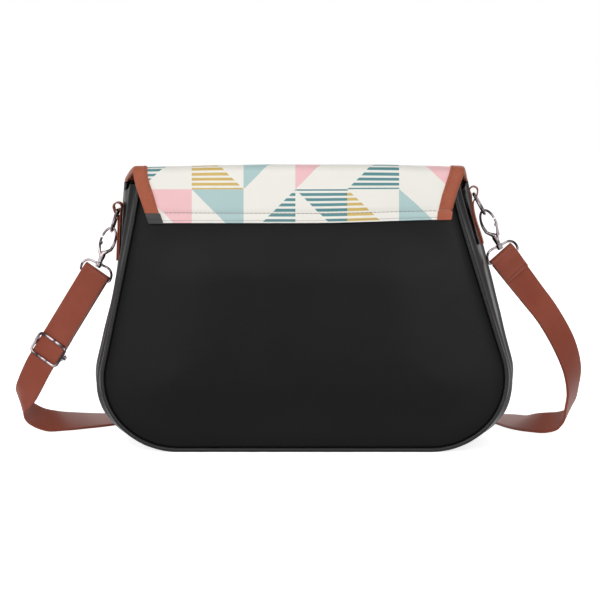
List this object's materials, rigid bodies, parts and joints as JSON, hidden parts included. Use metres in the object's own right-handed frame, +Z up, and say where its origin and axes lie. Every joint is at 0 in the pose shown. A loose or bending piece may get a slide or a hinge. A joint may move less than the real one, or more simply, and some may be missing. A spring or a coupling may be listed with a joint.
{
  "type": "handbag",
  "caption": "Saddle-shaped handbag with a patchwork-print flap on a magnetic snap, a piped body, D-rings with swivel snap hooks and an adjustable leather shoulder strap.",
  "frame": {"origin": "under the middle of the base, on the surface the bag stands on", "axes": "+X along the bag towards the strap's slider, +Y towards the back, +Z up; the flap covers the front, which faces -Y"},
  "size_m": [0.412, 0.2031, 0.1995],
  "materials": {
    "shell_black": "smooth semi-matte coated",
    "gusset_grey": "fine grain, matte",
    "piping_black": "smooth semi-matte",
    "lining_cloth": "plain weave",
    "stiffener_board": "fibreboard",
    "print_canvas": "coated canvas with a printed patchwork of triangles and stripes",
    "flap_lining": "plain weave",
    "binding_brown": "grained",
    "tab_brown": "smooth, semi-matte",
    "strap_brown": "smooth with painted edges",
    "hardware_nickel": "polished nickel plate",
    "spring_steel": "bare",
    "magnet": "bare"
  },
  "bodies": {
    "bag": {"gusset": "gusset_grey", "back_panel": "shell_black", "front_panel": "shell_black", "back_piping": "piping_black", "front_piping": "piping_black", "lining_back": "lining_cloth", "lining_front": "lining_cloth", "lining_gusset": "lining_cloth", "base_board": "stiffener_board", "flap_back": "print_canvas", "flap_back_binding": "binding_brown", "hem_patch": "shell_black", "snap_socket": "hardware_nickel", "snap_magnet": "magnet", "snap_socket_washer": "hardware_nickel", "tab_left": "tab_brown", "tab_right": "tab_brown", "strap": "strap_brown", "strap_return": "strap_brown", "bail_left": "hardware_nickel", "bail_right": "hardware_nickel"},
    "flap_over_top": {"flap_top": "print_canvas", "flap_top_lining": "flap_lining", "flap_top_binding": "binding_brown"},
    "flap_over_front": {"flap_front": "print_canvas", "flap_front_lining": "flap_lining", "flap_front_binding": "binding_brown", "snap_stud": "hardware_nickel", "snap_stud_washer": "hardware_nickel"},
    "slider": {"slider_frame": "hardware_nickel", "slider_pin": "hardware_nickel", "strap_end_loop": "strap_brown"},
    "ring_left": {"ring_left": "hardware_nickel"},
    "clasp_left": {"hook_left": "hardware_nickel", "gate_pin_left": "hardware_nickel", "gate_spring_left": "spring_steel", "swivel_post_left": "hardware_nickel"},
    "clasp_gate_left": {"gate_left": "hardware_nickel"},
    "ring_right": {"ring_right": "hardware_nickel"},
    "clasp_right": {"hook_right": "hardware_nickel", "gate_pin_right": "hardware_nickel", "gate_spring_right": "spring_steel", "swivel_post_right": "hardware_nickel"},
    "clasp_gate_right": {"gate_right": "hardware_nickel"}
  },
  "joints": [
    {"name": "flap_top_fold", "type": "hinge", "parent": "bag", "child": "flap_over_top", "pos_m": [0.0045, 0.02922, 0.19802], "axis": [-1, 0, 0], "range_deg": [0, 150]},
    {"name": "flap_front_fold", "type": "hinge", "parent": "flap_over_top", "child": "flap_over_front", "pos_m": [0.0045, -0.02992, 0.18822], "axis": [-1, 0, 0], "range_deg": [0, 85]},
    {"name": "ring_swing_left", "type": "hinge", "parent": "bag", "child": "ring_left", "pos_m": [0.13205, -0.008, 0.16602], "axis": [0, 1, 0], "range_deg": [-2, 2]},
    {"name": "clasp_swivel_left", "type": "hinge", "parent": "bag", "child": "clasp_left", "pos_m": [0.14586, -0.01159, 0.12827], "axis": [-0.3689, 0.1496, 0.9173], "range_deg": [-15, 15]},
    {"name": "gate_press_left", "type": "hinge", "parent": "clasp_left", "child": "clasp_gate_left", "pos_m": [0.14573, -0.01063, 0.13504], "axis": [-0.0558, -0.9888, 0.1388], "range_deg": [0, 25], "stiffness_Nm_per_rad": 0.01, "springref_deg": -20.05},
    {"name": "ring_swing_right", "type": "hinge", "parent": "bag", "child": "ring_right", "pos_m": [-0.12007, -0.008, 0.17732], "axis": [0.1097, 0.994, 0], "range_deg": [-2, 2]},
    {"name": "clasp_swivel_right", "type": "hinge", "parent": "bag", "child": "clasp_right", "pos_m": [-0.13797, -0.01001, 0.14123], "axis": [0.4198, 0.12, 0.8996], "range_deg": [-15, 15]},
    {"name": "gate_press_right", "type": "hinge", "parent": "clasp_right", "child": "clasp_gate_right", "pos_m": [-0.13746, -0.00925, 0.148], "axis": [-0.0507, 0.9928, -0.1087], "range_deg": [0, 25], "stiffness_Nm_per_rad": 0.01, "springref_deg": -20.05},
    {"name": "slider_travel", "type": "slide", "parent": "bag", "child": "slider", "axis": [-0.5238, 0.137, 0.8407], "range_m": [0, 0.04], "deforming": ["strap_return"]}
  ]
}
